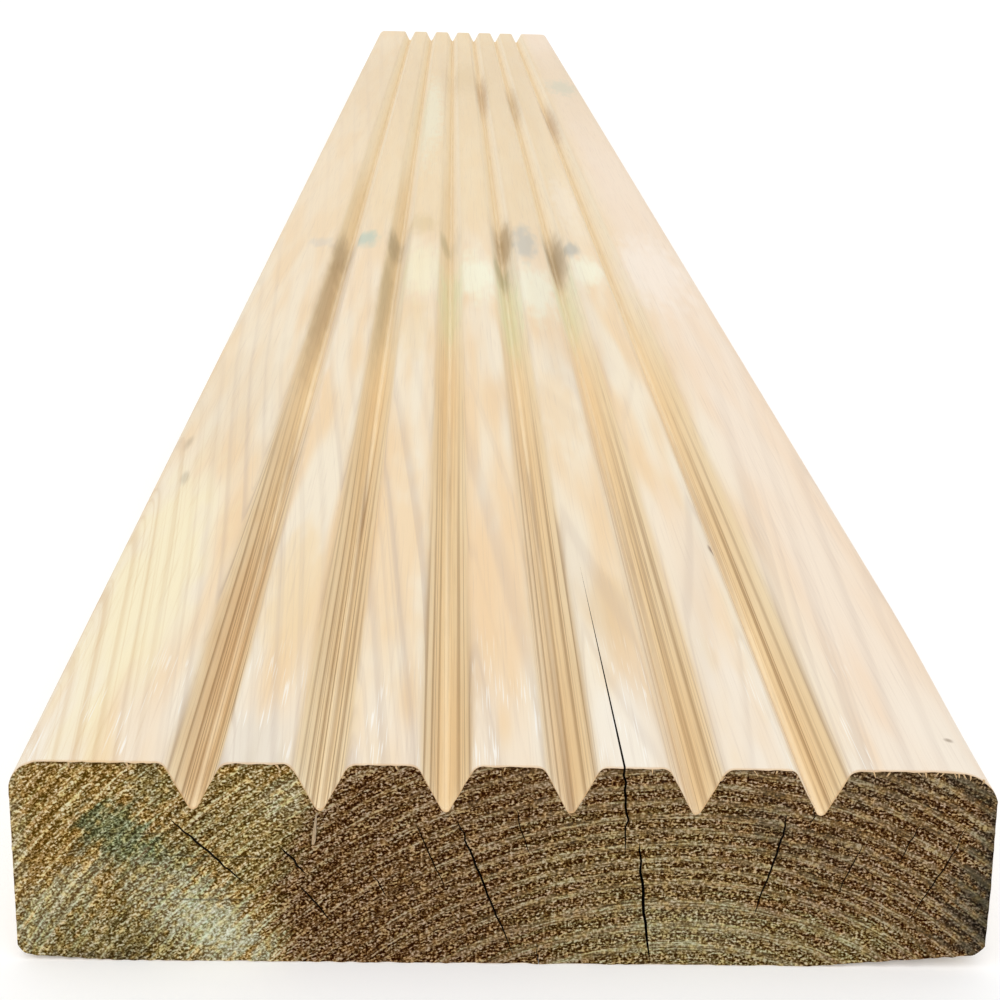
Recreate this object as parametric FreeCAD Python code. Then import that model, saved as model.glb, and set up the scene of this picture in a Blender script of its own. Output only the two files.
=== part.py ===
# Grooved softwood decking board.
#
# One planed plank, sawn square at both ends. Its section has four rounded edges, a plain underside
# and a row of V-shaped grooves in the upper face, which run from end to end, drain the deck and
# give a foothold. Sizes are in millimetres and angles in degrees.
#
# Frame: X across the board, Y along it, Z up. The origin is at the middle of the underside.

import FreeCAD, Part
import math
import os

# Stock size
LENGTH = 1200.0
WIDTH = 120.0
THICKNESS = 27.0

# Rounded long edges
TOP_EDGE_RADIUS = 4.0
BOTTOM_EDGE_RADIUS = 2.0

# Grooves of the upper face, as the planer's cutter leaves them
GROOVE_PITCH = 15.2
GROOVE_WIDTH = 7.0
GROOVE_ANGLE = 55.0
GROOVE_ROOT_RADIUS = 0.6
GROOVE_LIP_RADIUS = 1.5


def point(x, z):
    """A point of the section, which lies in the XZ plane."""
    return FreeCAD.Vector(x, 0.0, z)


def groove_centres():
    """The X of each groove's root.

    The row is centred, and has as many grooves as leave a whole pitch or more between the
    outermost roots and the sides of the board.
    """
    room = WIDTH - 2 * GROOVE_PITCH
    count = int(room // GROOVE_PITCH) + 1
    return [GROOVE_PITCH * (i - (count - 1) / 2) for i in range(count)]


def groove_corners(centre):
    """The three corners of one groove as (point, radius), from left lip to right lip."""
    half_width = GROOVE_WIDTH / 2
    half_angle = math.radians(GROOVE_ANGLE / 2)
    sharp_depth = half_width / math.tan(half_angle)
    # A lip takes up to half of the flat between two grooves, and the root up to the rest of its wall
    half_turn = (math.pi / 2 - half_angle) / 2
    lip_radius = min(GROOVE_LIP_RADIUS, (GROOVE_PITCH - GROOVE_WIDTH) / 2 / math.tan(half_turn))
    wall_below_lip = half_width / math.sin(half_angle) - lip_radius * math.tan(half_turn)
    root_radius = min(GROOVE_ROOT_RADIUS, wall_below_lip * math.tan(half_angle))
    return [
        (point(centre - half_width, THICKNESS), lip_radius),
        (point(centre, THICKNESS - sharp_depth), root_radius),
        (point(centre + half_width, THICKNESS), lip_radius),
    ]


def section_corners():
    """The board's section as sharp corners with their radii, clockwise from the lower left."""
    half_width = WIDTH / 2
    corners = [
        (point(-half_width, 0.0), BOTTOM_EDGE_RADIUS),
        (point(-half_width, THICKNESS), TOP_EDGE_RADIUS),
    ]
    for centre in groove_centres():
        corners += groove_corners(centre)
    corners += [
        (point(half_width, THICKNESS), TOP_EDGE_RADIUS),
        (point(half_width, 0.0), BOTTOM_EDGE_RADIUS),
    ]
    return corners


def rounding(before, corner, after, radius):
    """The arc that rounds one corner, as its start, middle and end points."""
    to_before = (before - corner).normalize()
    to_after = (after - corner).normalize()
    half_corner = to_before.getAngle(to_after) / 2
    setback = radius / math.tan(half_corner)
    bisector = (to_before + to_after).normalize()
    centre = corner + bisector * (radius / math.sin(half_corner))
    return corner + to_before * setback, centre - bisector * radius, corner + to_after * setback


def rounded_outline(corners):
    """A closed wire of straight runs and tangent arcs, from corners given as (point, radius)."""
    arcs = []
    for i, (corner, radius) in enumerate(corners):
        before = corners[i - 1][0]
        after = corners[(i + 1) % len(corners)][0]
        arcs.append(rounding(before, corner, after, radius))
    shortest = Part.Precision.confusion()
    edges = []
    for i, (start, middle, end) in enumerate(arcs):
        run_start = arcs[i - 1][2]
        if run_start.distanceToPoint(start) > shortest:
            edges.append(Part.LineSegment(run_start, start).toShape())
        if start.distanceToPoint(end) > shortest:
            edges.append(Part.Arc(start, middle, end).toShape())
    return Part.Wire(edges)


def deck_board():
    """The whole board: its section, extruded from the near end to the far end."""
    section = Part.Face(rounded_outline(section_corners()))
    section.translate(FreeCAD.Vector(0.0, -LENGTH / 2, 0.0))
    return section.extrude(FreeCAD.Vector(0.0, LENGTH, 0.0))


def main():
    os.makedirs("parts", exist_ok=True)
    board = deck_board()
    board.exportStep("parts/deck_board.step")
    print("valid", board.isValid(), "solids", len(board.Solids), "cm3", round(board.Volume / 1000, 1))


main()
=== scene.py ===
"""Looks of a grooved softwood decking board: one plank with a weathered sawn end.

Lengths are in millimetres until a mesh is made. X runs across the board, Y along it, and Z up.
"along" is the distance from the near end, so along = Y + half the length.
"""

import math

import bmesh
import bpy
import numpy as np
from mathutils import Matrix, Vector


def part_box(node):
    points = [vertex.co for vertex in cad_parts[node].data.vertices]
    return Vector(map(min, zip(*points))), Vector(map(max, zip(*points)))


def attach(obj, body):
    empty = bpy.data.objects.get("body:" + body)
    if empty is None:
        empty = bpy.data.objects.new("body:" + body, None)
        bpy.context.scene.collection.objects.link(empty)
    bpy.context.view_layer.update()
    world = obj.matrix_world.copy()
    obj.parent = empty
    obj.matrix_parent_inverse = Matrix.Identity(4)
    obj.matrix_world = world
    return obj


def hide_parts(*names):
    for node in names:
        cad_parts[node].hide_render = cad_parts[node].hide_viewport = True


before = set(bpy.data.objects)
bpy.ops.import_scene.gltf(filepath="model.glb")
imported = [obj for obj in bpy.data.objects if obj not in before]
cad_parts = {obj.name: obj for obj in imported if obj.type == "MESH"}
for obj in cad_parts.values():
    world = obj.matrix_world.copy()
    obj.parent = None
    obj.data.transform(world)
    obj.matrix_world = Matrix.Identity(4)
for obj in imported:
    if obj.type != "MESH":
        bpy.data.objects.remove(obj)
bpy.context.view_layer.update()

MM = 0.001
NODE = "deck_board"
low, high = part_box(NODE)
HALF_WIDTH = (high.x - low.x) / 2 / MM
THICKNESS = (high.z - low.z) / MM
LENGTH = (high.y - low.y) / MM

# The section, as in the solid
TOP_EDGE_RADIUS = 4.0
BOTTOM_EDGE_RADIUS = 2.0
GROOVE_PITCH = 15.2
GROOVE_X = [-38.0, -22.8, -7.6, 7.6, 22.8, 38.0]
GROOVE_HALF_WIDTH = 3.5
GROOVE_HALF_ANGLE = math.radians(27.5)
GROOVE_ROOT_RADIUS = 0.6
GROOVE_LIP_RADIUS = 1.5
# Where a groove's rounded root ends, and where its lip starts and ends, from the groove's middle
LIP_SETBACK = GROOVE_LIP_RADIUS * math.tan((math.pi / 2 - GROOVE_HALF_ANGLE) / 2)
ROOT_END = GROOVE_ROOT_RADIUS * math.cos(GROOVE_HALF_ANGLE)
LIP_START = GROOVE_HALF_WIDTH - LIP_SETBACK * math.sin(GROOVE_HALF_ANGLE)
LIP_END = GROOVE_HALF_WIDTH + LIP_SETBACK

# Growth rings: circles about a pith that lies under the board, to the right of its middle, and
# less deep for the part of the board to its right
CROWN_X = 21.9
PITH_DEPTH_LEFT = 46.0
PITH_DEPTH_RIGHT = 36.0
RING_FAN = 0.0011        # how fast the rings spread from the crown along the board
RING_RISE = 0.012        # how far a ring rises for each millimetre along
STRAIGHT_FROM = 200.0    # where the rings stop rising
GROOVE_HOLD = 0.85       # how much of both is held back in the grooves, whose lines run straighter
RING_WANDER = 4.0        # the span in which the rings stray across the board
WANDER_FROM = 120.0      # where they stray in full, from nothing at the near end
# Height of each year's late wood over the crown at the near end, and the years' spacing past these
RING_HEIGHTS = [
    2.6, 5.5, 8.6, 11.6, 13.3, 14.7, 16.8, 18.6, 20.6, 22.5,
    24.6, 26.7, 28.7, 30.6, 32.4, 34.1, 35.8, 37.5, 39.2, 40.9,
]
RING_SPACING = 1.7

# Drying splits of the near end: points (x, z), width, and how deep each point runs into the board
SPLITS = [
    ([(13.4, 30.0), (13.8, 27.0), (14.4, 21.1), (14.3, 15.0)], 0.42, (76, 74, 40, 14)),
    ([(16.1, 17.4), (17.0, 8.7), (18.1, 0.5)], 0.55, (16, 34, 30)),
    ([(-6.2, 20.0), (-4.6, 15.6), (-2.2, 9.7), (1.3, 0.7)], 0.42, (10, 26, 30, 12)),
    ([(33.9, 21.2), (33.5, 17.7), (30.6, 6.6)], 0.40, (18, 24, 10)),
    ([(56.3, 20.0), (53.4, 13.4), (49.8, 6.0)], 0.26, (8, 14, 6)),
    ([(43.8, 17.9), (40.4, 9.2)], 0.24, (8, 6)),
    ([(50.5, 20.3), (48.0, 14.2)], 0.22, (6, 5)),
    ([(-11.4, 19.9), (-7.3, 9.8)], 0.26, (8, 6)),
    ([(0.6, 22.0), (3.0, 14.8)], 0.22, (6, 6)),
    ([(-40.9, 19.7), (-37.0, 15.6), (-31.6, 10.7)], 0.44, (8, 14, 8)),
    ([(-27.6, 16.0), (-24.4, 12.1)], 0.44, (10, 8)),
    ([(-25.5, 10.9), (-21.3, 5.6)], 0.36, (10, 8)),
    ([(-16.6, 12.4), (-14.5, 9.0)], 0.24, (6, 5)),
    ([(37.5, 22.8), (36.7, 19.0)], 0.22, (8, 6)),
    ([(3.8, 3.2), (4.5, -1.2)], 0.20, (6, 6)),
]
SPLIT_GAPE = 0.7         # share of its width that a split keeps open
SPLIT_JITTER = 0.10      # how far a split's line strays to its sides
SPLIT_STEPS = 6          # mesh steps between two points of a split
SPLIT_FRONT = -2.0       # where the cutters start, before the near end
MAIN_SPLIT_DRIFT = -1.0  # the first split leans to the left as it runs into the board

# Wear of the near end's corners, which fades out along the board
WEAR_REACH = 60.0
RIGHT_LIFT = 1.7         # how far the lower right corner has worn upwards
LEFT_LIFT = 0.6          # and the lower left one
SHOULDER_DROP = 0.9      # how far the upper right corner has worn downwards
SHOULDER_INSET = 0.5     # and inwards

# Relief of the sawn ends
END_SETBACK = 0.22       # of the hard late wood, behind the end's plane
EARLY_WOOD_DEPTH = 0.14  # how much deeper the soft early wood lies
SMALL_TUFT = 0.12        # how much deeper the hollows between torn tufts lie
BROAD_TUFT = 0.10
SAW_MARK = 0.05          # and the marks of the saw
LEAST_FRAY = 0.03        # how far the arris has frayed everywhere
EXTRA_FRAY = 0.16        # and how much further in places
SECOND_ROW = 0.35        # moves the next mesh row behind the deepest relief

# Torn fibres along the near end's upper arris
FIBRES = 22
FIBRE_THICKNESS = 0.09
FIBRE_DEEPEST = 1.2      # no fibre where the upper face lies deeper than this
# A strip that hangs below the second groove: path (x, along, z), and width at each point
STRIP_PATH = [
    (-22.9, 0.7, 21.0), (-23.2, 0.16, 20.3), (-23.35, 0.11, 18.6), (-23.5, 0.11, 17.0),
    (-23.6, 0.2, 16.4),
]
STRIP_WIDTHS = (0.10, 0.18, 0.36, 0.48, 0.30)
STRIP_THICKNESS = 0.1

# Branch stubs, cut open by the grooves: centre (x, along, z), reach, colour and share
STUBS = [
    ((-40.0, 344, 23.5), (4.0, 40, 4.8), "84683A", 0.33),
    ((-40.2, 280, 23.5), (3.2, 90, 4.4), "A98858", 0.52),
    ((-24.8, 362, 23.5), (3.2, 26, 4.8), "7C683C", 0.42),
    ((-25.2, 290, 23.5), (2.6, 90, 4.4), "A68E5E", 0.42),
    ((-9.4, 366, 23.5), (2.4, 18, 4.4), "948A54", 0.36),
    ((9.0, 374, 23.5), (3.2, 40, 5.0), "987200", 0.56),
    ((6.4, 326, 23.5), (2.8, 26, 4.6), "8C864C", 0.45),
    ((23.3, 350, 23.5), (4.0, 46, 5.0), "8A6800", 0.48),
    ((7.8, 800, 24.0), (3.8, 110, 5.0), "BC9660", 0.40),
    ((22.6, 765, 24.0), (3.8, 100, 5.0), "C0A06C", 0.36),
    ((37.4, 690, 24.0), (4.0, 90, 5.0), "BC9A74", 0.40),
]
# Broad tints of the upper face, in the same form
TINTS = [
    ((-52.0, 62, 27), (8.0, 75, 8), "F6EAC4", 0.80),
    ((-38.0, 58, 23.5), (4.5, 62, 5), "E0B578", 0.35),
    ((-30.5, 4, 27), (5.0, 16, 6), "D6CAB6", 0.85),
    ((-22.8, 8, 24), (4.5, 40, 6), "FDF0D2", 0.80),
    ((-16.0, 240, 27), (5.0, 40, 6), "EDD3A6", 0.50),
    ((14.5, 165, 27), (5.0, 40, 6), "EDD2AA", 0.60),
    ((-30.5, 60, 27), (5.0, 36, 6), "EFD3A4", 0.65),
    ((15.0, 8, 27), (4.5, 22, 5), "F4EEE0", 0.75),
    ((-50.0, 170, 27), (12.0, 60, 8), "E9D9BE", 0.50),
    ((-16.0, 80, 27), (6.0, 62, 8), "F0CFA0", 0.65),
    ((0.0, 66, 27), (6.0, 50, 8), "F0CFA4", 0.60),
    ((15.5, 54, 27), (4.0, 18, 5), "E6C796", 0.55),
    ((30.0, 76, 27), (5.0, 60, 8), "F3DFC8", 0.45),
    ((-16.0, 312, 27), (8.0, 44, 6), "F5EDCB", 0.70),
    ((-1.0, 304, 26), (7.0, 38, 7), "F5F4DA", 0.80),
    ((14.5, 284, 26), (7.0, 42, 7), "F3F2DA", 0.75),
    ((29.5, 312, 26), (6.0, 26, 7), "F5F4DC", 0.75),
    ((-7.8, 285, 23.5), (4.0, 55, 4.5), "E6E6C0", 0.45),
    ((7.4, 272, 23.5), (4.0, 62, 4.5), "E4E7C2", 0.50),
    ((22.6, 278, 23.5), (4.0, 48, 4.5), "E6E8C8", 0.45),
    ((-33.0, 300, 27), (5.0, 70, 5), "F2D8B4", 0.50),
    ((48.0, 315, 27), (12.0, 60, 8), "F8ECDE", 0.65),
    ((-17.0, 690, 27), (6.0, 190, 8), "ECE9D0", 0.60),
    ((-16.5, 386, 26), (6.0, 22, 6), "D9C08C", 0.45),
    ((30.4, 16, 27), (5.0, 30, 5), "F2E8DA", 0.60),
    ((30.4, 430, 27), (5.0, 64, 5), "F5E7D0", 0.65),
    # painted light on the left wall of the last groove, near the end
    ((35.6, 26, 24), (2.2, 46, 4), "FFF4E2", 0.50),
    # painted light on the right wall of the first groove
    ((-35.8, 240, 24), (2.4, 170, 4.5), "FBF0DE", 0.75),
    ((0.0, 860, 27), (15.0, 100, 6), "DAC196", 0.32),
]
# Blue-grey mould on the flats around the stubs
MOULD = [
    ((-32.4, 357, 27), (4.2, 15, 2.2), "BCCABA", 0.78),
    ((14.2, 356, 27), (4.4, 32, 2.2), "B8B8B0", 0.65),
    ((27.6, 347, 27), (2.8, 14, 2.2), "AEB0A8", 0.65),
    ((-45.6, 349, 27), (4.0, 9, 2.2), "CFC8BC", 0.45),
    ((50.0, 820, 27), (9.0, 46, 2.5), "CFCDB8", 0.60),
]
# Small dark marks of the upper face
MARKS = [
    ((-56.2, 137, 26.5), (0.9, 6.0, 2.0), "7A6E60", 0.32),
    ((-54.1, 115, 27.0), (0.8, 5.0, 2.0), "7A6E60", 0.28),
    ((34.8, 82, 26.4), (0.6, 2.4, 2.0), "6E4C34", 0.75),
    ((55.4, 10, 26.8), (0.8, 0.8, 2.0), "7A6248", 0.60),
]

# Tones of the sawn ends, from the darkest pits to the brightest flecks
END_TONES = {
    "dark": ("260A00", "462A0C", "694C2B", "92765B", "C4AB94"),
    "olive": ("2B1100", "4F3612", "775F39", "A38C6A", "D4BFA4"),
    "buff": ("321A00", "57411C", "7F6C46", "AA9976", "D6C7AC"),
    "gold": ("4C3402", "715520", "977947", "C1A57B", "ECDBB8"),
    "sage": ("3E2F0E", "5D502B", "7F744D", "A79E7B", "D2CCB1"),
    "green": ("24301C", "40503A", "5C7054", "809476", "B0BEA0"),
    "pale": ("6A5436", "867A5C", "A8A283", "C6C2A7", "E0DDC5"),
    "film": ("8C8260", "ACA88A", "C4C2A9", "D4D3BF", "E6E5D5"),
    "stain": ("281E12", "3A2E20", "504334", "6A5D4D", "8E7E6A"),
    "soot": ("0E0B08", "1A1612", "2C2721", "423B33", "60564B"),
}
# Zones of the near end: tone, centre (x, z), reach, turn in degrees, and share
END_ZONES = [
    ("olive", (18.5, 10.5), (16.5, 13.0), 0, 0.85),
    ("olive", (6.0, 13.5), (1.8, 3.0), 0, 0.90),
    ("buff", (25.0, 2.0), (22.0, 7.0), 0, 0.90),
    ("buff", (43.8, 3.0), (3.5, 5.0), -20, 0.85),
    ("sage", (-31.5, 18.5), (7.0, 9.0), 0, 0.45),
    ("sage", (-49.0, 2.0), (15.0, 5.0), 0, 0.60),
    ("sage", (-45.0, 5.5), (12.0, 6.5), 0, 0.40),
    ("sage", (-44.0, 14.0), (8.0, 5.0), -30, 0.70),
    ("green", (-46.6, 17.4), (5.6, 3.4), -38, 0.56),
    ("green", (-41.0, 13.6), (5.0, 1.7), -36, 0.30),
    ("pale", (-54.5, 8.5), (7.5, 2.7), 47, 0.60),
    ("pale", (-36.8, 5.6), (10.5, 4.8), -40, 0.90),
    ("film", (-35.6, 5.0), (6.5, 2.8), -40, 0.75),
    ("pale", (-26.8, 22.2), (3.6, 2.4), 35, 0.42),
    ("sage", (-43.0, 24.0), (3.0, 3.5), 0, 0.70),
    ("pale", (-57.5, 3.6), (2.4, 2.6), 20, 0.50),
    ("buff", (-37.5, 20.0), (3.0, 3.0), 0, 0.60),
    ("pale", (-59.6, 16.0), (1.6, 9.0), 0, 0.40),
    ("stain", (32.3, 20.0), (3.0, 3.6), 0, 0.45),
    ("stain", (39.0, 15.5), (5.0, 3.0), 0, 0.25),
    ("stain", (59.5, 7.5), (5.2, 7.5), 0, 0.90),
    ("stain", (60.5, 16.0), (3.0, 12.0), 0, 0.75),
    ("stain", (56.5, 26.2), (5.5, 2.6), -15, 0.75),
    ("stain", (-60.6, 17.0), (1.0, 9.0), 0, 0.15),
    ("stain", (-50.0, 0.2), (8.0, 1.2), 0, 0.50),
    ("stain", (-50.0, 3.0), (9.0, 4.0), 0, 0.14),
    ("stain", (46.0, 27.0), (10.0, 5.0), 0, 0.40),
    ("pale", (23.0, 5.0), (9.0, 4.0), 0, 0.22),
    ("soot", (60.8, 7.0), (2.8, 6.5), 0, 0.75),
    ("soot", (60.8, 17.0), (1.3, 9.0), 0, 0.60),
]
# Saw lines across the near end's left part: height, and the span of x
SAW_LINES = [(17.5, -50, -41), (14.5, -41, -28), (8.6, -44, -31)]

# The camera: its place from the near end's upper middle, its focal length in widths of the
# picture, and its turn in degrees
CAMERA_X, CAMERA_BACK, CAMERA_UP = -8.42, 207.96, 100.48
CAMERA_FOCAL = 1.9109
CAMERA_PITCH, CAMERA_YAW, CAMERA_ROLL = 17.796, 1.767, 1.48
SENSOR = 36

# Light and floor
SKY_STRENGTH = 0.76
KEY_ENERGY = 1.05
KEY_SPREAD = 70          # degrees
KEY_TURN = (30, -6, 0)   # degrees
FLOOR_HALF = 8           # metres
FLOOR_TONE = 0.88
FLOOR_GLOW = 0.16

FINE = 0.46              # mesh spacing across the section
ROWS = 54                # mesh rows over the thickness
SHARP_ANGLE = 40         # degrees between faces past which an edge isn't smoothed
PLANED, SAWN, SPLIT, TORN = range(4)  # the mesh's material slots
BAKE_PIXELS = 1024
SEED = 7
FAR_SEED = SEED + 20     # for the far end


# Section, rings and noise in numbers


def ease(value, start, end):
    """0 before start, 1 past end, smooth between."""
    t = np.clip((value - start) / (end - start), 0, 1)
    return t * t * (3 - 2 * t)


def groove_depth(x):
    """Depth of the grooved face below the top plane."""
    d = np.min(np.abs(np.asarray(x)[..., None] - np.array(GROOVE_X)), axis=-1)
    slope = math.tan(GROOVE_HALF_ANGLE)
    sharp = GROOVE_HALF_WIDTH / slope
    depth = np.clip(sharp - d / slope, 0.0, None)
    root = sharp - GROOVE_ROOT_RADIUS / math.sin(GROOVE_HALF_ANGLE)
    root = root + np.sqrt(np.clip(GROOVE_ROOT_RADIUS**2 - d * d, 0, None))
    depth = np.where(d < ROOT_END, root, depth)
    lip = GROOVE_LIP_RADIUS - np.sqrt(np.clip(GROOVE_LIP_RADIUS**2 - (LIP_END - d) ** 2, 0, None))
    return np.where((d > LIP_START) & (d < LIP_END), lip, depth)


def edge_drop(x, radius):
    """How far a rounded long edge has left its flat."""
    past = np.clip(np.abs(x) - (HALF_WIDTH - radius), 0, radius)
    return radius - np.sqrt(radius**2 - past**2)


def top_drop(x):
    """How far the upper face lies below the top plane, with its grooves and rounded edges."""
    return np.maximum(groove_depth(x), edge_drop(x, TOP_EDGE_RADIUS))


def shoulder_drop(x):
    """How far the near end's upper right corner has worn down."""
    return SHOULDER_DROP * ease(x, 53, 60)


def ring_count(x, z):
    """Years of growth at a point of the near end, with late wood at the whole numbers."""
    u = x - CROWN_X
    depth = np.where(u > 0, PITH_DEPTH_RIGHT, PITH_DEPTH_LEFT)
    height = np.hypot(u, depth + z) - depth
    first, last = RING_HEIGHTS[0], RING_HEIGHTS[-1]
    count = np.interp(height, RING_HEIGHTS, np.arange(len(RING_HEIGHTS)))
    return count + (np.minimum(height - first, 0) + np.maximum(height - last, 0)) / RING_SPACING


def lattice_noise(a, b, size, seed):
    """Smooth noise from 0 to 1 over two coordinates, with features of the given size."""
    count = 64
    table = np.random.default_rng(seed).random((count, count))
    a, b = np.asarray(a) / size, np.asarray(b) / size
    i, j = np.floor(a).astype(int), np.floor(b).astype(int)
    s, t = ease(a - i, 0, 1), ease(b - j, 0, 1)
    i, j, i_next, j_next = i % count, j % count, (i + 1) % count, (j + 1) % count
    near = table[i, j] * (1 - s) + table[i_next, j] * s
    far = table[i, j_next] * (1 - s) + table[i_next, j_next] * s
    return near * (1 - t) + far * t


# Mesh of the board


def divide(points, spacing):
    """The points, with each gap divided evenly so that no step is longer than the spacing."""
    out = [points[0]]
    for a, b in zip(points, points[1:]):
        steps = max(1, math.ceil((b - a) / spacing - 1e-6))
        out += [a + (b - a) * (i + 1) / steps for i in range(steps)]
    return out


def columns():
    """X of each mesh column, with columns at every tangent point of the section."""
    half_groove = [*np.linspace(0, ROOT_END, 4), *np.linspace(LIP_START, LIP_END, 6)]
    stops = set()
    for centre in GROOVE_X:
        stops |= {round(centre + side * d, 4) for d in half_groove for side in (-1, 1)}
    turn = np.linspace(0, math.pi / 2, 9)
    edge = HALF_WIDTH - TOP_EDGE_RADIUS + TOP_EDGE_RADIUS * np.sin(turn)
    stops |= {round(side * x, 4) for x in edge for side in (-1, 1)}
    return np.array(divide(sorted(stops), FINE))


def stations():
    """Distances along the board of the mesh's cross-sections: close together near the ends."""
    near = [0, 0.35, 0.9, 1.8, 3, 5, 8, 12, 17, 23, 30, 38, 48, 60, 74, 90]
    middle = list(np.linspace(110, LENGTH - 60, 38))
    far = [LENGTH - d for d in (30, 14, 6, 2.5, 0.9, 0.35, 0)]
    return np.array(near + middle + far)


def wear_corners(x, along, z):
    """Wears the near end's corners, the right-hand ones most, by moving the points in place."""
    worn = 1 - ease(along, 0, WEAR_REACH)
    lift = RIGHT_LIFT * np.clip((x - 38) / 21, 0, 1) + LEFT_LIFT * ease(-x, 48, 60)
    z += worn * lift * (1 - z / THICKNESS)
    z -= worn * shoulder_drop(x) * ease(z, 10, 27)
    x -= worn * SHOULDER_INSET * ease(x, 50, 60) * ease(z, 6, 27)


def end_recess(x, z, seed):
    """How far a sawn end lies behind its plane: early wood worn away, torn tufts and saw marks."""
    year = ring_count(x, z) + 0.3 * (lattice_noise(x, z, 2.2, seed) - 0.5)
    soft = 0.5 - 0.5 * np.cos(2 * np.pi * year)
    tufts = lattice_noise(x, z, 0.9, seed + 1) * SMALL_TUFT
    tufts = tufts + lattice_noise(x, z, 2.0, seed + 2) * BROAD_TUFT
    saw = SAW_MARK * lattice_noise(x * 0.05, z, 1.3, seed + 3)
    return END_SETBACK + EARLY_WOOD_DEPTH * soft + tufts + saw


def board_mesh():
    """The whole plank as one closed grid, folded over its six sides."""
    xs, ys = columns(), stations()
    n, m, k = len(xs) - 1, ROWS, len(ys) - 1
    top, bottom = THICKNESS - top_drop(xs), edge_drop(xs, BOTTOM_EDGE_RADIUS)

    grid = np.meshgrid(np.arange(n + 1), np.arange(m + 1), np.arange(k + 1), indexing="ij")
    i, j, q = grid
    outside = (i == 0) | (i == n) | (j == 0) | (j == m) | (q == 0) | (q == k)
    index = np.full(outside.shape, -1)
    index[outside] = np.arange(outside.sum())
    i, j, q = i[outside], j[outside], q[outside]
    x, along = xs[i].copy(), ys[q].copy()
    z = bottom[i] + (top[i] - bottom[i]) * j / m
    wear_corners(x, along, z)

    # sawn ends: rough faces with a frayed arris
    for at_end, seed, sign, start in ((q == 0, SEED, 1, 0.0), (q == k, FAR_SEED, -1, LENGTH)):
        along[at_end] = start + sign * end_recess(x[at_end], z[at_end], seed)
        fray = LEAST_FRAY + EXTRA_FRAY * lattice_noise(x, z, 0.8, seed + 5)
        z -= np.where(at_end & (j == m), fray, 0)
        z += np.where(at_end & (j == 0), fray, 0)
        x += np.where(at_end & (i == 0), fray, 0) - np.where(at_end & (i == n), fray, 0)
    along += np.where(q == 1, SECOND_ROW, 0) - np.where(q == k - 1, SECOND_ROW, 0)

    def sheet(numbers, flip):
        """The quads between a sheet's points."""
        corners = numbers[:-1, :-1], numbers[1:, :-1], numbers[1:, 1:], numbers[:-1, 1:]
        quads = np.stack(corners, -1).reshape(-1, 4)
        return quads[:, ::-1] if flip else quads

    long_faces = [
        sheet(index[:, m, :], False),
        sheet(index[:, 0, :], True),
        sheet(index[0, :, :], False),
        sheet(index[n, :, :], True),
    ]
    end_faces = [sheet(index[:, :, 0], False), sheet(index[:, :, k], True)]
    faces = np.concatenate(long_faces + end_faces)
    slots = np.full(len(faces), PLANED)
    slots[sum(map(len, long_faces)):] = SAWN

    mesh = bpy.data.meshes.new(NODE)
    points = np.stack([x, along - LENGTH / 2, z], -1) * MM
    mesh.from_pydata(points.tolist(), [], faces.tolist())
    mesh.polygons.foreach_set("material_index", slots)
    mesh.polygons.foreach_set("use_smooth", np.ones(len(faces), bool))
    return mesh


def split_cutter(points, width, depths, drift):
    """A wedge that opens at the near end, as wide as the split there, and closes in the board."""
    points = np.array(points, float)
    stops = np.arange(len(points))
    t = np.linspace(0, stops[-1], stops[-1] * SPLIT_STEPS + 1)
    last = len(t) - 1
    px, pz = np.interp(t, stops, points[:, 0]), np.interp(t, stops, points[:, 1])
    depth = np.interp(t, stops, depths)
    jitter = np.random.default_rng(int(1000 + abs(px[0] * 10))).normal(0, SPLIT_JITTER, len(t))
    jitter[[0, -1]] = 0
    direction = np.array([px[-1] - px[0], pz[-1] - pz[0]])
    side = np.array([direction[1], -direction[0]]) / np.linalg.norm(direction)
    px, pz = px + jitter * side[0], pz + jitter * side[1]
    # the split is widest in its middle and closes at its tips
    share = np.arange(len(t)) / last
    half = width / 2 * SPLIT_GAPE * np.sqrt(np.clip(np.sin(np.pi * share), 0, 1))

    verts = [(px[0], SPLIT_FRONT, pz[0])]
    for i in range(1, last):
        grown = half[i] * (1 - SPLIT_FRONT / depth[i])
        for s in (-1, 1):
            verts.append((px[i] + s * grown * side[0], SPLIT_FRONT, pz[i] + s * grown * side[1]))
    verts.append((px[last], SPLIT_FRONT, pz[last]))
    back = len(verts)
    for i in range(last + 1):
        verts.append((px[i] + drift * depth[i] / max(depths), depth[i], pz[i]))
    left = [0] + [1 + 2 * (i - 1) for i in range(1, last)] + [back - 1]
    right = [0] + [2 + 2 * (i - 1) for i in range(1, last)] + [back - 1]
    faces = []
    for i in range(last):
        faces.append((left[i], left[i + 1], back + i + 1, back + i))
        faces.append((right[i + 1], right[i], back + i, back + i + 1))
        # the front face is a triangle at the tips, where both sides share a corner
        front = [right[i], right[i + 1], left[i + 1], left[i]]
        faces.append(tuple(dict.fromkeys(front)))

    mesh = bpy.data.meshes.new("split")
    verts = np.array(verts) - (0, LENGTH / 2, 0)
    mesh.from_pydata((verts * MM).tolist(), [], faces)
    mesh.polygons.foreach_set("material_index", np.full(len(faces), SPLIT))
    return mesh


def cut_splits(board, materials):
    """Cuts every drying split out of the board's mesh."""
    scene, layer = bpy.context.scene, bpy.context.view_layer
    for number, (points, width, depths) in enumerate(SPLITS):
        mesh = split_cutter(points, width, depths, MAIN_SPLIT_DRIFT if number == 0 else 0.0)
        for material in materials:
            mesh.materials.append(material)
        cutter = bpy.data.objects.new("cutter", mesh)
        scene.collection.objects.link(cutter)
        cut = board.modifiers.new("split", "BOOLEAN")
        cut.operation, cut.solver, cut.object = "DIFFERENCE", "MANIFOLD", cutter
        layer.update()
        evaluated = board.evaluated_get(bpy.context.evaluated_depsgraph_get())
        done = bpy.data.meshes.new_from_object(evaluated)
        board.modifiers.remove(cut)
        bpy.data.objects.remove(cutter)
        board.data = done


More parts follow.
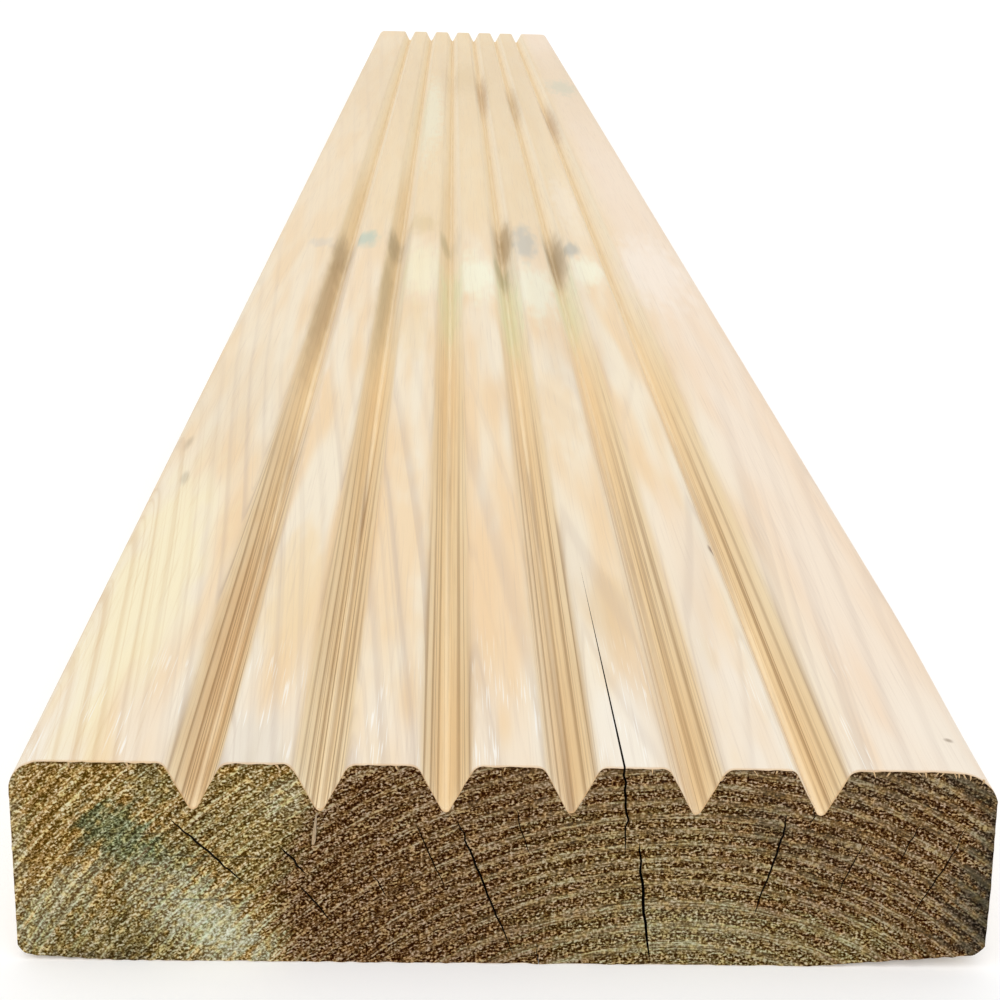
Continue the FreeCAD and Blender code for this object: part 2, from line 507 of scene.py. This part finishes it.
def sliver(path, widths, thick):
    """A closed strip of torn wood along a path of (x, along, z), with a width at each point."""
    verts, faces = [], []
    for (x, along, z), width in zip(path, widths):
        for dx, dy in ((-1, -1), (1, -1), (1, 1), (-1, 1)):
            verts.append((x + dx * width / 2, along - LENGTH / 2 + dy * thick / 2, z))
    last = 4 * (len(path) - 1)
    for a in range(0, last, 4):
        faces += [(a + s, a + (s + 1) % 4, a + 4 + (s + 1) % 4, a + 4 + s) for s in range(4)]
    faces += [(3, 2, 1, 0), tuple(last + s for s in range(4))]
    return verts, faces


def add_slivers(mesh):
    """Torn fibres along the near end's upper arris, and one strip that hangs below a groove."""
    rng = np.random.default_rng(SEED + 40)
    strips = [sliver(STRIP_PATH, STRIP_WIDTHS, STRIP_THICKNESS)]
    for number in range(FIBRES):
        # every other fibre is on the right margin
        x = rng.uniform(43, 58) if number % 2 else rng.uniform(-57, 43)
        length, lean = rng.uniform(0.2, 0.6), rng.uniform(-0.5, 0.5)
        drop = float(top_drop(x)) + float(shoulder_drop(x))
        if drop > FIBRE_DEEPEST:
            continue
        z = THICKNESS - drop
        path = [
            (x, 0.9, z - 0.25),
            (x, 0.3, z - 0.14),
            (x + lean * 0.5, 0.13, z - 0.2 - length * 0.4),
            (x + lean, 0.12, z - 0.2 - length),
        ]
        width = rng.uniform(0.14, 0.28)
        strips.append(sliver(path, (width, width, width * 0.8, width * 0.3), FIBRE_THICKNESS))
    merged = bmesh.new()
    merged.from_mesh(mesh)
    for verts, faces in strips:
        made = [merged.verts.new(Vector(v) * MM) for v in verts]
        for face in faces:
            merged.faces.new([made[i] for i in face]).material_index = TORN
    added = sum(len(faces) for _, faces in strips)
    bmesh.ops.recalc_face_normals(merged, faces=merged.faces[-added:])
    merged.to_mesh(mesh)
    merged.free()


def bake_map(mesh):
    """A UV map for the bake, most of it for the near end and the grooved face."""
    place = np.empty(len(mesh.vertices) * 3)
    mesh.vertices.foreach_get("co", place)
    corner, sides = np.empty(len(mesh.loops), int), np.empty(len(mesh.polygons), int)
    slot, normal = np.empty(len(mesh.polygons), int), np.empty(len(mesh.polygons) * 3)
    mesh.loops.foreach_get("vertex_index", corner)
    mesh.polygons.foreach_get("loop_total", sides)
    mesh.polygons.foreach_get("material_index", slot)
    mesh.polygons.foreach_get("normal", normal)
    x, along, z = (place.reshape(-1, 3)[corner] / MM + (0, LENGTH / 2, 0)).T
    slot, normal = np.repeat(slot, sides), np.repeat(normal.reshape(-1, 3), sides, axis=0)

    def unrolled(drop):
        """Distance across the section, along its surface, as a share of the whole."""
        across = np.linspace(-HALF_WIDTH, HALF_WIDTH, 4801)
        steps = np.hypot(np.diff(across), np.diff(drop(across)))
        total = np.concatenate([[0], np.cumsum(steps)])
        return np.interp(x, across, total / total[-1])

    level, reach, share = z / THICKNESS, along / LENGTH, (x + HALF_WIDTH) / (2 * HALF_WIDTH)
    over, under = unrolled(top_drop), unrolled(lambda v: edge_drop(v, BOTTOM_EDGE_RADIUS))
    planed, sawn, near = slot == PLANED, slot == SAWN, along < LENGTH / 2
    steep = 0.08
    rightward, upward = normal[:, 0], normal[:, 2]
    upright = planed & (np.abs(upward) <= steep)
    # which corners, where in their part of the map, and that part's left, low, width and height
    parts = [
        (sawn & near, share, level, (4, 4, 1000, 225)),
        (sawn & ~near, share, level, (4, 936, 360, 81)),
        (planed & (upward > steep), reach, over, (4, 240, 1016, 460)),
        (planed & (upward < -steep), reach, under, (4, 712, 1016, 130)),
        (upright & (rightward < 0), reach, level, (4, 852, 1016, 32)),
        (upright & (rightward > 0), reach, level, (4, 894, 1016, 32)),
        (slot == SPLIT, (along + x * 0.3) / 120 + 0.2, level, (380, 936, 300, 81)),
        (slot == TORN, share + along / 200, level + along / 90, (700, 936, 300, 70)),
    ]
    spots = np.zeros((len(corner), 2))
    for inside, u, v, (left, bottom, width, height) in parts:
        spots[inside, 0] = (left + np.clip(u, 0, 1) * width)[inside]
        spots[inside, 1] = (bottom + np.clip(v, 0, 1) * height)[inside]
    mesh.uv_layers.new(name="OFBake").data.foreach_set("uv", (spots / BAKE_PIXELS).ravel())


# Node trees


class Num:
    """A number that a node tree works out at each point. Arithmetic on it adds Math nodes."""

    def __init__(self, tree, socket):
        self.tree, self.socket = tree, socket

    def _math(self, operation, *others):
        node = self.tree.nodes.new("ShaderNodeMath")
        node.operation = operation
        for socket, value in zip(node.inputs, (self, *others)):
            connect(self.tree, socket, value)
        return Num(self.tree, node.outputs[0])

    def __add__(self, other):
        return self._math("ADD", other)

    def __sub__(self, other):
        return self._math("SUBTRACT", other)

    def __mul__(self, other):
        return self._math("MULTIPLY", other)

    def __truediv__(self, other):
        return self._math("DIVIDE", other)

    def __gt__(self, other):
        return self._math("GREATER_THAN", other)

    def __rsub__(self, other):
        return self * -1 + other

    def sqrt(self):
        return self._math("SQRT")

    def fract(self):
        return self._math("FRACT")

    def floor(self):
        return self._math("FLOOR")

    def abs(self):
        return self._math("ABSOLUTE")

    def least(self, other):
        return self._math("MINIMUM", other)

    def most(self, other):
        return self._math("MAXIMUM", other)

    def ease(self, start, end, top=1.0):
        """0 at start, top at end, smooth between, and held beyond."""
        node = self.tree.nodes.new("ShaderNodeMapRange")
        node.interpolation_type = "SMOOTHSTEP"
        inputs = {"Value": self, "From Min": start, "From Max": end, "To Max": top}
        for name, value in inputs.items():
            connect(self.tree, node.inputs[name], value)
        return Num(self.tree, node.outputs["Result"])


def connect(tree, socket, value):
    """Links a socket to a value, or sets it to a constant."""
    if isinstance(value, Num):
        value = value.socket
    if isinstance(value, bpy.types.NodeSocket):
        tree.links.new(value, socket)
    else:
        socket.default_value = value


def colour(code):
    """A linear colour from a hexadecimal sRGB code."""
    channels = [int(code[i : i + 2], 16) / 255 for i in (0, 2, 4)]
    return (*(c / 12.92 if c < 0.04045 else ((c + 0.055) / 1.055) ** 2.4 for c in channels), 1)


def blend(tree, share, first, second, mode="MIX"):
    """One colour with a second mixed into it by a share from 0 to 1."""
    node = tree.nodes.new("ShaderNodeMix")
    node.data_type = "RGBA"
    node.blend_type = mode
    for number, value in ((0, share), (6, first), (7, second)):
        connect(tree, node.inputs[number], colour(value) if isinstance(value, str) else value)
    return node.outputs[2]


def washed(tree, shade, washes):
    """A colour with washes laid over it in turn, each given as its share and its colour."""
    for share, wash in washes:
        shade = blend(tree, share, shade, wash)
    return shade


def scale_of(tree, value, codes):
    """A colour from a scale of evenly spaced colours, for a value from 0 to 1."""
    node = tree.nodes.new("ShaderNodeValToRGB")
    steps = node.color_ramp.elements
    while len(steps) < len(codes):
        steps.new(0.5)
    for number, code in enumerate(codes):
        steps[number].position = number / (len(codes) - 1)
        steps[number].color = colour(code)
    connect(tree, node.inputs["Fac"], value)
    return node.outputs["Color"]


def vector(tree, operation, *values):
    """The result of a Vector Math node."""
    node = tree.nodes.new("ShaderNodeVectorMath")
    node.operation = operation
    for socket, value in zip(node.inputs, values):
        connect(tree, socket, value)
    return node.outputs["Value" if operation in ("LENGTH", "DOT_PRODUCT") else "Vector"]


def curve_of(tree, value, points):
    """How many of the rising points a value has passed, even between them and beyond the last."""
    first, span, count = points[0], points[-1] - points[0], len(points) - 1
    node = tree.nodes.new("ShaderNodeFloatCurve")
    node.mapping.use_clip = False
    node.mapping.extend = "EXTRAPOLATED"
    curve = node.mapping.curves[0]
    for number in range(1, count):
        curve.points.new((points[number] - first) / span, number / count)
    for point in curve.points:
        point.handle_type = "VECTOR"
    node.mapping.update()
    connect(tree, node.inputs["Value"], (value - first) / span)
    return Num(tree, node.outputs[0]) * count


def noise_at(tree, place, detail, roughness):
    """Smooth noise, about 0.5 on average, at a place that is already scaled."""
    node = tree.nodes.new("ShaderNodeTexNoise")
    node.inputs["Scale"].default_value = 1.0
    node.inputs["Detail"].default_value = detail
    node.inputs["Roughness"].default_value = roughness
    tree.links.new(place, node.inputs["Vector"])
    return Num(tree, node.outputs["Fac"])


def noise(tree, x, y, z, detail=2.0, roughness=0.5):
    """The same noise over three coordinates."""
    place = tree.nodes.new("ShaderNodeCombineXYZ")
    for socket, value in zip(place.inputs, (x, y, z)):
        connect(tree, socket, value)
    return noise_at(tree, place.outputs[0], detail, roughness)


def bell(value, middle, reach):
    """1 at the middle, falling to 0 at its reach on each side."""
    return (value - middle).abs().ease(reach, 0)


class Grain:
    """Where a point lies in the timber: its place in millimetres and among the growth rings."""

    def __init__(self, tree):
        self.tree = tree
        source = tree.nodes.new("ShaderNodeTexCoord").outputs["Object"]
        self.place = vector(tree, "MULTIPLY_ADD", source, (1 / MM,) * 3, (0, LENGTH / 2, 0))
        split = tree.nodes.new("ShaderNodeSeparateXYZ")
        tree.links.new(self.place, split.inputs[0])
        x, along, z = self.x, self.along, self.z = [Num(tree, out) for out in split.outputs]
        # 1 on the walls of the grooves, 0 on the flats, the underside and the sides
        deep = z.ease(THICKNESS, THICKNESS - 1.6) * z.ease(17, 19)
        self.groove = deep * x.abs().ease(46, 43)
        travel = along * (1 - self.groove * GROOVE_HOLD)
        wander = (self.noise(60, 320, 1) - 0.5) * along.ease(0, WANDER_FROM) * RING_WANDER
        u = (x - CROWN_X + wander) / (travel * RING_FAN + 1)
        depth = (u > 0.0) * (PITH_DEPTH_RIGHT - PITH_DEPTH_LEFT) + PITH_DEPTH_LEFT
        over_pith = depth + z
        rise = travel.least(STRAIGHT_FROM) * RING_RISE
        self.height = (u * u + over_pith * over_pith).sqrt() - depth - rise
        self.years = curve_of(tree, self.height, RING_HEIGHTS)
        self.ragged = self.noise(2.2, 14, 1, 0.6) - 0.5

    def noise(self, across, along, detail=2.0, roughness=0.5, shift=0.0):
        """Noise with features of the given sizes across and along the board."""
        scale = (1 / across, 1 / along, 1 / across)
        place = vector(self.tree, "MULTIPLY_ADD", self.place, scale, (shift,) * 3)
        return noise_at(self.tree, place, detail, roughness)

    def spot(self, centre, reach, share=1.0, border=None):
        """The share inside an ellipsoid and 0 outside, with a soft and ragged border."""
        scale = [1 / r for r in reach]
        start = [-c * s for c, s in zip(centre, scale)]
        offset = vector(self.tree, "MULTIPLY_ADD", self.place, scale, start)
        distance = Num(self.tree, vector(self.tree, "LENGTH", offset))
        return (distance + (border or self.ragged)).ease(1.2, 0.3, share)

    def spots(self, table, border=None):
        """The spots of a table as washes."""
        for centre, reach, code, share in table:
            yield self.spot(centre, reach, share, border), code

    def zone(self, centre, reach, turn, share, border):
        """The share inside a turned ellipse of the section and 0 outside, with a soft border."""
        cos, sin = math.cos(math.radians(turn)), math.sin(math.radians(turn))
        offsets = []
        for across, up, half in ((cos, sin, reach[0]), (-sin, cos, reach[1])):
            axis = (across / half, 0, up / half)
            place = Num(self.tree, vector(self.tree, "DOT_PRODUCT", self.place, axis))
            offsets.append(place - (across * centre[0] + up * centre[1]) / half)
        distance = (offsets[0] * offsets[0] + offsets[1] * offsets[1]).sqrt()
        return (distance + border).ease(1.3, 0.5, share)


def new_material(name, specular):
    material = bpy.data.materials.new(name)
    material.use_nodes = True
    tree = material.node_tree
    shader = tree.nodes["Principled BSDF"]
    shader.inputs["Specular IOR Level"].default_value = specular
    return material, tree, shader


def bump(tree, shader, height, distance):
    """Relief whose height, from 0 to 1, stands for a distance in millimetres."""
    node = tree.nodes.new("ShaderNodeBump")
    node.inputs["Distance"].default_value = distance * MM
    node.inputs["Strength"].default_value = 1.0
    connect(tree, node.inputs["Height"], height)
    tree.links.new(node.outputs["Normal"], shader.inputs["Normal"])


def planed_wood():
    """The planed faces: pale flats and golden grooves, with the grain running along the board."""
    material, tree, shader = new_material("planed_wood", 0.3)
    grain = Grain(tree)
    x, along, z, groove = grain.x, grain.along, grain.z, grain.groove
    wall = (x / GROOVE_PITCH).fract()
    left_wall, right_wall = groove * wall.ease(0.54, 0.40), groove * wall.ease(0.46, 0.60)
    distant = along.ease(180, 320)

    # how clearly the grain shows: less further along and on the right margin, more on the sides,
    # and less on the left walls of the right-hand grooves, which pales them as painted light
    clear = along.ease(230, 60) * 0.65 + along.ease(420, 200) * 0.15 + 0.2
    clear = clear * (1 - groove * along.ease(60, 240) * 0.6) * (1 - x.ease(42, 50) * 0.5)
    clear = (clear * (1 - left_wall * x.ease(5, 25) * 0.45)).most(z.ease(21, 17, 0.8))

    # late wood, stronger in some years than in others, finer threads, and fibres
    year = grain.years + 0.5
    vigour = noise(tree, year.floor() * 2.7, along / 600, 0.0, 0).ease(0.3, 0.7) * 0.7 + 0.3
    vigour = vigour * (1 - groove * 0.5) + groove * 0.5
    part = year.fract()
    late = part.ease(0.22, 0.52) * part.ease(0.70, 0.56) * vigour * clear
    threads = noise(tree, grain.years * 7, along / 300, x / 30, 1).ease(0.52, 0.75) * clear
    fibres = grain.noise(0.28, 24, 1, 0.7)

    patch = grain.noise(6, 80, 1, 0.65, 5.0).ease(0.34, 0.66) - 0.5
    patch = patch * (along.ease(450, 120) * 0.75 + 0.25) + 0.5
    shade = blend(tree, patch, "F2E5CD", "EFD2A9")
    shade = washed(tree, shade, [
        # the flats past the stubs, and the right margin
        (along.ease(330, 420) * x.ease(42, 26) * x.ease(-56, -26) * 0.38, "EBD2A2"),
        (x.ease(38, 48) * 0.6, "F3E0CE"),
        # the grooves, with painted light and shade on single walls: the left walls paler towards
        # the right, the right walls darker near the end, and the left walls darker a little way
        # along
        (groove * 0.85, "F9E7C2"),
        (left_wall * x.ease(-15, 25) * 0.9, "FDF0DA"),
        (right_wall * along.ease(70, 15) * 0.5, "EED09E"),
        (left_wall * along.ease(90, 150) * along.ease(290, 220) * 0.25, "D8B27A"),
        # the grooves further along: paler, with painted light on the right walls and painted shade
        # on the left walls of the left-hand grooves and deep in the grooves
        (groove * distant * 0.8, "F5E7CB"),
        (right_wall * distant * 0.6, "FCF3E2"),
        (left_wall * distant * along.ease(560, 440) * x.ease(10, -25) * 0.5, "E6CA98"),
        (z.ease(22.4, 21.0) * groove * distant * 0.35, "D8BC8C"),
        # the duller flats of the far half
        (along.ease(480, 820) * along.ease(1180, 900) * 0.45 * (1 - groove), "E4CEAC"),
    ])
    shade = washed(tree, shade, grain.spots(TINTS))
    # painted glare: a whitish sheen on the flats near the end, in clusters
    painted_glare = along.ease(42, 4) * grain.noise(4, 30, 1, 0.5, 9.0).ease(0.3, 0.6)
    shade = blend(tree, painted_glare * (1 - groove) * 0.6, shade, "F3EADB")

    # grain lines: grey on the flats, ochre at the near left corner, brown in the grooves
    ochre = grain.spot((-56, 40, 26), (13, 130, 12))
    line = blend(tree, ochre, "BDAA9C", "CDA062")
    line = blend(tree, groove, line, "8E6638")
    shade = washed(tree, shade, [
        (late * (groove * 0.22 + 0.40), line),
        (threads * (groove * 0.38 + 0.22), line),
        (fibres.ease(0.5, 0.8) * 0.18, line),
    ])

    # white flecks of torn fibre near the end, in clusters
    flecks = grain.noise(0.18, 9.0, 0, 0.5, 3.0).ease(0.62, 0.74)
    flecks = flecks * grain.noise(4, 18, 0, 0.5, 31.0).ease(0.46, 0.60)
    flecks = flecks * along.ease(60, 8) * x.ease(52, 42) * (1 - groove)
    shade = blend(tree, flecks * 0.65, shade, "FDFBF4")
    shade = washed(tree, shade, grain.spots(STUBS, grain.ragged * 0.5))
    shade = washed(tree, shade, grain.spots(MOULD + MARKS))
    # painted shade along the rounded upper edges, broken up by the fibres, and the sawn arris
    edge_shade = x.abs().ease(58.9, 59.8) * z.ease(20.0, 23.5) * fibres.ease(0.3, 0.6)
    shade = blend(tree, edge_shade * 0.42, shade, "857A6E")
    shade = blend(tree, along.ease(1.0, 0.35) * 0.7, shade, "D4AC7A")

    tree.links.new(shade, shader.inputs["Base Color"])
    connect(tree, shader.inputs["Roughness"], 0.66 - late * 0.12)
    bump(tree, shader, fibres, 0.04)
    return material


def end_grain():
    """The sawn ends: dark, dirty rings with torn tufts, golden and mouldy at the near left."""
    material, tree, shader = new_material("end_grain", 0.02)
    grain = Grain(tree)
    x, along, z = grain.x, grain.along, grain.z

    # patterns about zero: blotches, specks, torn strokes, and streaks and lines along the rings
    coarse = grain.noise(1.2, 40, 1, 0.6) - 0.5
    grit = grain.noise(0.33, 40, 1, 0.6, 4.0) - 0.5
    leaning = grain.height * 0.5 + z * 0.5
    stroke = noise(tree, leaning / 0.24, x / 0.7, along / 40, 1, 0.6) - 0.5
    streak = noise(tree, grain.height, x / 6, along / 40, 1, 0.6) - 0.5
    lines = noise(tree, grain.height / 0.21, x / 5, along / 40, 0) - 0.5

    # hard late wood, broader and clearer towards the right
    year = (grain.years + coarse * 0.36 + grit * 0.4 + 0.5).fract()
    broad = x.ease(-25, 12) * 0.05
    hard = (year + broad).ease(0.30, 0.44) * (year - broad).ease(0.75, 0.61)
    clear = x.ease(-60, 0) * 0.45 + 0.55
    hard_clear = hard * clear

    # soft wood is torn more, hard wood shows its lines, and all is rougher away from the left
    torn = stroke * (2.3 - hard_clear * 0.9) + grit * (3.0 - hard_clear * 1.2)
    torn = torn + lines * (hard_clear * 0.7 + 0.5)
    tone = torn * (x.ease(-58, -25) * 0.15 + 0.87)
    tone = tone + (hard - 0.42) * (0.30 - clear * 0.09)
    tone = tone + coarse * 0.4 + streak * (0.95 - clear * 0.4) + 0.50

    border = coarse + streak * 2.0
    bulge = (z - 10) * (z - 10) * 0.035
    left = (x - bulge + border * 4).ease(-26.5, -31.5, 0.95)
    scales = {name: scale_of(tree, tone, codes) for name, codes in END_TONES.items()}
    shade = blend(tree, left, scales["dark"], scales["gold"])
    for name, centre, reach, turn, share in END_ZONES:
        shade = blend(tree, grain.zone(centre, reach, turn, share, border), shade, scales[name])
    shade = blend(tree, hard * broad * 3.6, shade, "857C60")
    shade = blend(tree, coarse.ease(-0.12, 0.18), shade, "FFF4D2", "MULTIPLY")
    shade = blend(tree, lines.ease(-0.05, 0.20), shade, "F3FFF6", "MULTIPLY")
    for height, start, end in SAW_LINES:
        across = x.ease(start, start + 2) * x.ease(end, end - 2, 0.6)
        cut = bell(z + coarse * 0.3, height, 0.22) * across
        shade = blend(tree, cut, shade, "2B2114")
    # the far end is plain, and both are darker just under the upper face
    shade = blend(tree, along.ease(20, 40), shade, scales["dark"])
    shade = blend(tree, z.ease(THICKNESS - 0.7, THICKNESS - 0.2) * 0.5, shade, "3A2815")

    tree.links.new(shade, shader.inputs["Base Color"])
    shader.inputs["Roughness"].default_value = 0.9
    bump(tree, shader, stroke + grit, 0.07)
    return material


def split_wall():
    """The inside of a split: near-black wood, painted shade deep in the narrow crack."""
    material, tree, shader = new_material("split_wall", 0.2)
    grain = Grain(tree)
    shade = blend(tree, grain.noise(0.5, 8), "1B120A", "3A2919")
    tree.links.new(shade, shader.inputs["Base Color"])
    shader.inputs["Roughness"].default_value = 0.95
    return material


def torn_fibre():
    """Loose fibres of the sawn arris: pale tan, streaked along, and grey on the hanging strip."""
    material, tree, shader = new_material("torn_fibre", 0.2)
    grain = Grain(tree)
    x = grain.x
    streak = noise(tree, x / 0.08, grain.along / 3, grain.z / 0.9, 2)
    shade = blend(tree, x.ease(-24.5, -22) * x.ease(-18, -21), "D2B184", "9C968C")
    shade = blend(tree, streak.ease(0.4, 0.7) * 0.6, shade, "6E5A40")
    tree.links.new(shade, shader.inputs["Base Color"])
    shader.inputs["Roughness"].default_value = 0.8
    return material


# Camera, light and floor


def look():
    """A camera close to the near end, a little left of the middle, looking along and down."""
    pitch, yaw, roll = map(math.radians, (CAMERA_PITCH, CAMERA_YAW, CAMERA_ROLL))
    place = Vector((CAMERA_X, -LENGTH / 2 - CAMERA_BACK, THICKNESS + CAMERA_UP)) * MM
    level = math.cos(pitch)
    ahead = Vector((math.sin(yaw) * level, math.cos(yaw) * level, -math.sin(pitch)))
    across = Vector((math.cos(yaw), -math.sin(yaw), 0))
    above = across.cross(ahead)
    right = across * math.cos(roll) + above * math.sin(roll)
    up = above * math.cos(roll) - across * math.sin(roll)
    data = bpy.data.cameras.new("camera")
    data.sensor_width = SENSOR
    data.lens = CAMERA_FOCAL * SENSOR
    data.clip_start, data.clip_end = 0.01, 100
    camera = bpy.data.objects.new("camera", data)
    turn = Matrix((right, up, -ahead)).transposed().to_4x4()
    camera.matrix_world = Matrix.Translation(place) @ turn
    bpy.context.scene.collection.objects.link(camera)
    bpy.context.scene.camera = camera


def studio():
    """Even white light from all round, a broad soft light from above, and a white floor."""
    scene = bpy.context.scene
    scene.view_settings.view_transform = "Standard"
    world = bpy.data.worlds.new("studio")
    scene.world = world
    world.use_nodes = True
    sky = world.node_tree.nodes["Background"]
    sky.inputs["Color"].default_value = (1, 1, 1, 1)
    sky.inputs["Strength"].default_value = SKY_STRENGTH

    lamp = bpy.data.lights.new("key", "SUN")
    lamp.energy, lamp.angle = KEY_ENERGY, math.radians(KEY_SPREAD)
    key = bpy.data.objects.new("key", lamp)
    key.rotation_euler = [math.radians(angle) for angle in KEY_TURN]
    scene.collection.objects.link(key)

    corners = [(x * FLOOR_HALF, y * FLOOR_HALF, 0) for x, y in ((-1, -1), (1, -1), (1, 1), (-1, 1))]
    mesh = bpy.data.meshes.new("floor")
    mesh.from_pydata(corners, [], [(0, 1, 2, 3)])
    floor = bpy.data.objects.new("floor", mesh)
    scene.collection.objects.link(floor)
    material, tree, shader = new_material("floor", 0.0)
    shader.inputs["Base Color"].default_value = (FLOOR_TONE, FLOOR_TONE, FLOOR_TONE, 1)
    shader.inputs["Roughness"].default_value = 1.0
    # a glow that is seen, but doesn't light the board
    shader.inputs["Emission Color"].default_value = (1, 1, 1, 1)
    seen = tree.nodes.new("ShaderNodeLightPath")
    direct = Num(tree, seen.outputs["Is Camera Ray"])
    for name in ("Is Glossy Ray", "Is Transmission Ray"):
        direct = direct.most(Num(tree, seen.outputs[name]))
    connect(tree, shader.inputs["Emission Strength"], direct * FLOOR_GLOW)
    mesh.materials.append(material)


def main():
    look()
    studio()
    materials = [planed_wood(), end_grain(), split_wall(), torn_fibre()]
    mesh = board_mesh()
    board = bpy.data.objects.new("board", mesh)
    bpy.context.scene.collection.objects.link(board)
    for material in materials:
        mesh.materials.append(material)
    cut_splits(board, materials)
    add_slivers(board.data)
    bake_map(board.data)
    board.data.set_sharp_from_angle(angle=math.radians(SHARP_ANGLE))
    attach(board, "root")
    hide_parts(NODE)


main()
